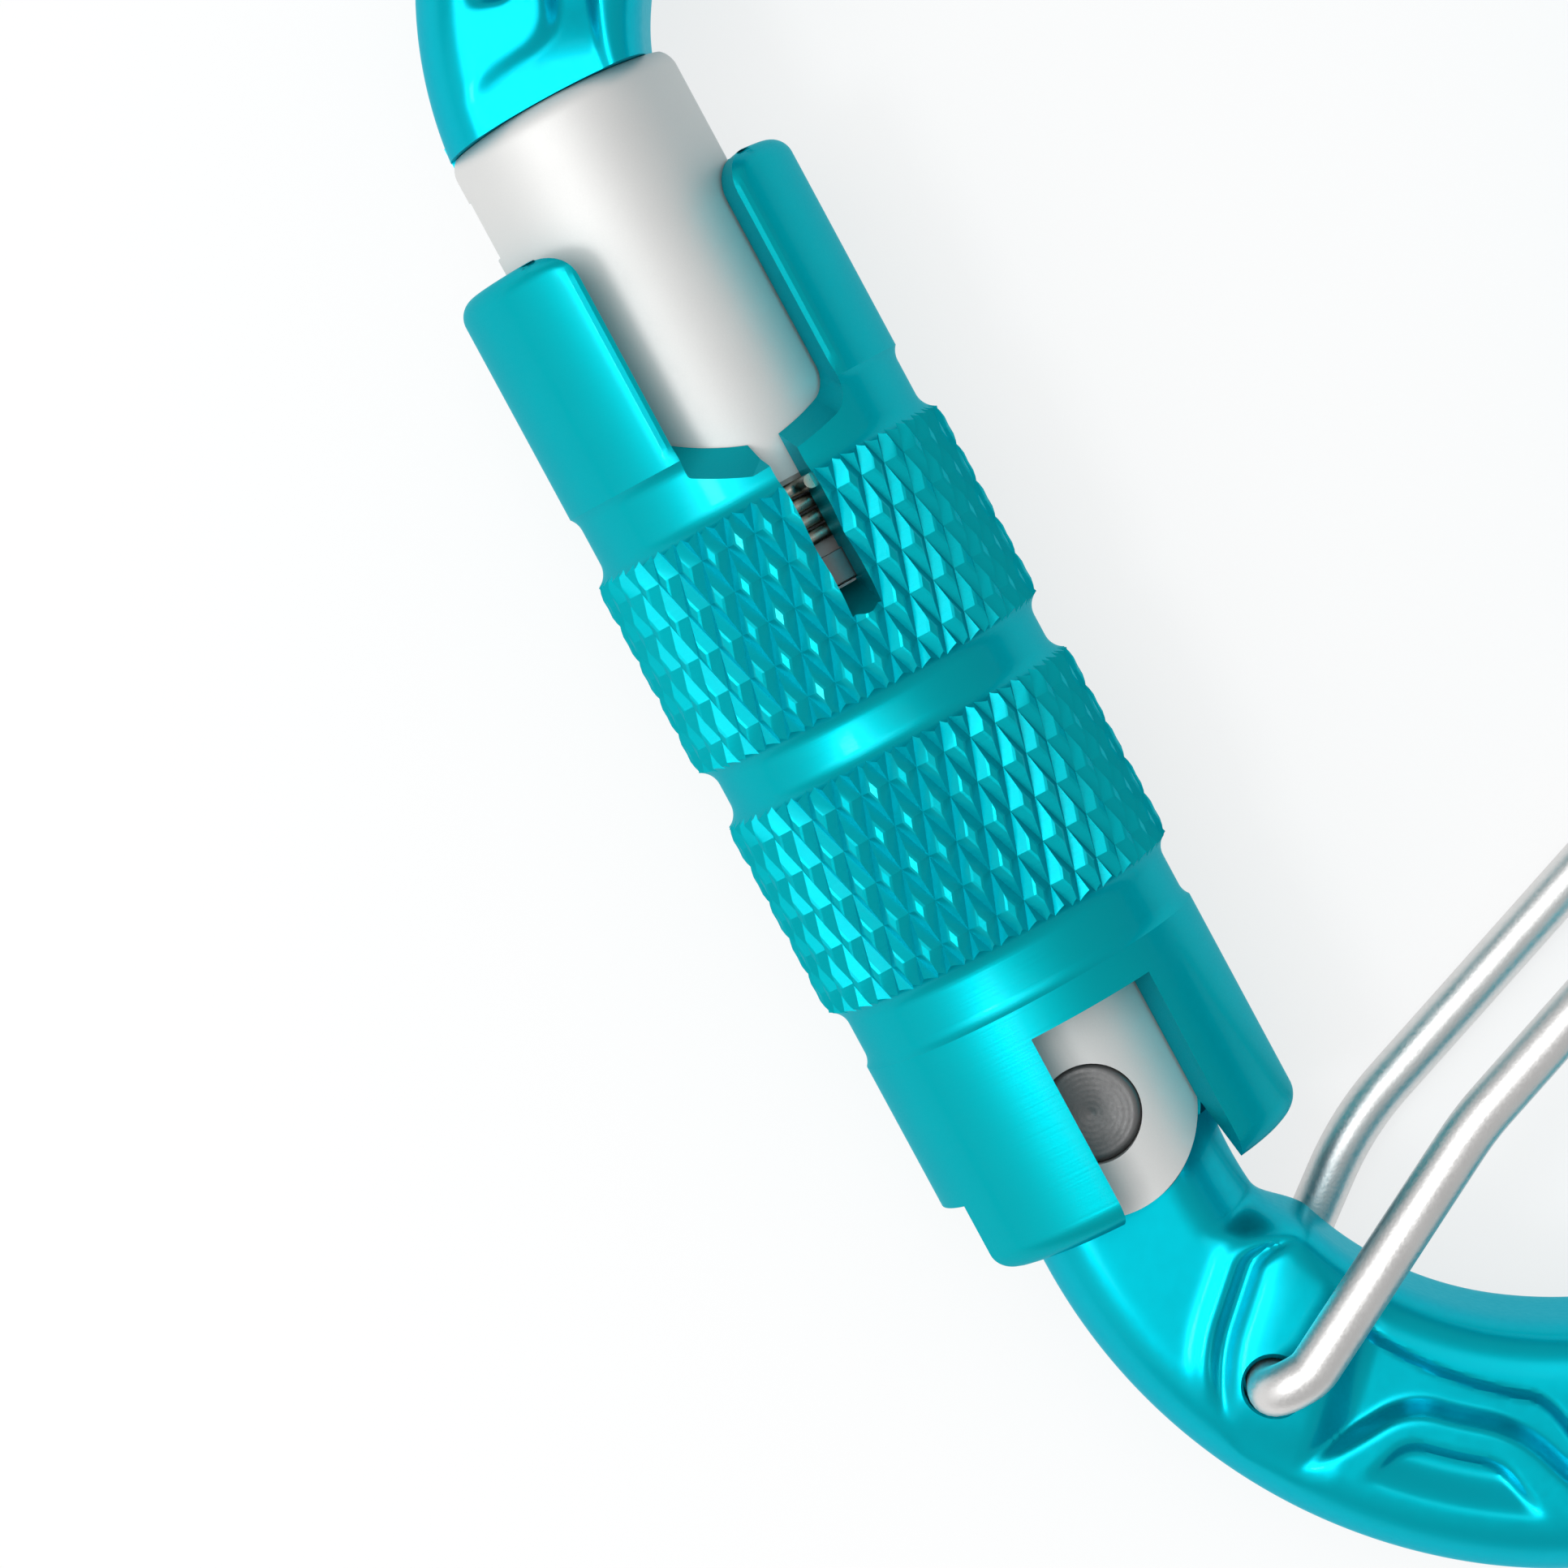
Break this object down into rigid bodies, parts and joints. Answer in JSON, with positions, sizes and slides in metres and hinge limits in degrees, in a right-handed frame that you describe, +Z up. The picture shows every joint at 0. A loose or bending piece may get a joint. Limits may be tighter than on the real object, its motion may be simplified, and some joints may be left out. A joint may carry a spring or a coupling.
{
  "type": "locking carabiner",
  "caption": "Pear-shaped auto-locking carabiner with a sprung gate, a knurled lift-and-turn sleeve and a sprung wire bail across its narrow end.",
  "frame": {"origin": "on the surface that the carabiner lies on, under the middle of its box", "axes": "+Z up through the thickness, +Y along the closed gate from the hinge to the nose, +X from the gate to the spine"},
  "size_m": [0.0672, 0.095, 0.0156],
  "materials": {
    "anodised_body": "polished forging with a clear turquoise anodised coat",
    "anodised_sleeve": "turned and knurled, satin turquoise anodised",
    "satin_gate": "satin bead-blasted, clear anodised",
    "turned_steel": "turned face with fine rings",
    "spring_steel": "drawn spring wire",
    "bail_wire": "satin drawn stainless wire"
  },
  "bodies": {
    "frame": {"frame_body": "anodised_body", "hinge_rivet": "turned_steel"},
    "gate": {"gate": "satin_gate", "guide_pin": "turned_steel", "gate_spring": "spring_steel"},
    "plunger": {"gate_plunger": "turned_steel"},
    "ring": {"spring_seat_ring": "spring_steel"},
    "sleeve": {"lock_sleeve": "anodised_sleeve", "sleeve_spring": "spring_steel"},
    "bail": {"wire_bail": "bail_wire"}
  },
  "joints": [
    {"name": "gate_open", "type": "hinge", "parent": "frame", "child": "gate", "pos_m": [-0.02581, -0.01946, 0.0078], "axis": [0, 0, -1], "range_deg": [0, 24], "stiffness_Nm_per_rad": 0.3, "springref_deg": -11.46},
    {"name": "plunger_slide", "type": "slide", "parent": "gate", "child": "plunger", "axis": [0, 1, 0], "range_m": [0, 0.0014], "deforming": ["gate_spring"]},
    {"name": "sleeve_lift", "type": "slide", "parent": "gate", "child": "ring", "axis": [0, 1, 0], "range_m": [0, 0.0012], "stiffness_N_per_m": 500, "springref_m": -0.002, "deforming": ["sleeve_spring"]},
    {"name": "sleeve_twist", "type": "hinge", "parent": "ring", "child": "sleeve", "pos_m": [-0.02581, 0.00054, 0.0078], "axis": [0, 1, 0], "range_deg": [0, 75], "stiffness_Nm_per_rad": 0.02, "springref_deg": -17.19, "deforming": ["sleeve_spring"]},
    {"name": "bail_swing", "type": "hinge", "parent": "frame", "child": "bail", "pos_m": [-0.02461, -0.03251, 0.0078], "axis": [0, 0, 1], "range_deg": [0, 25], "stiffness_Nm_per_rad": 0.05, "springref_deg": -11.46}
  ],
  "couplings": [
    {"joint": "plunger_slide", "follows": "gate_open", "m_per_rad": 0.003267}
  ]
}
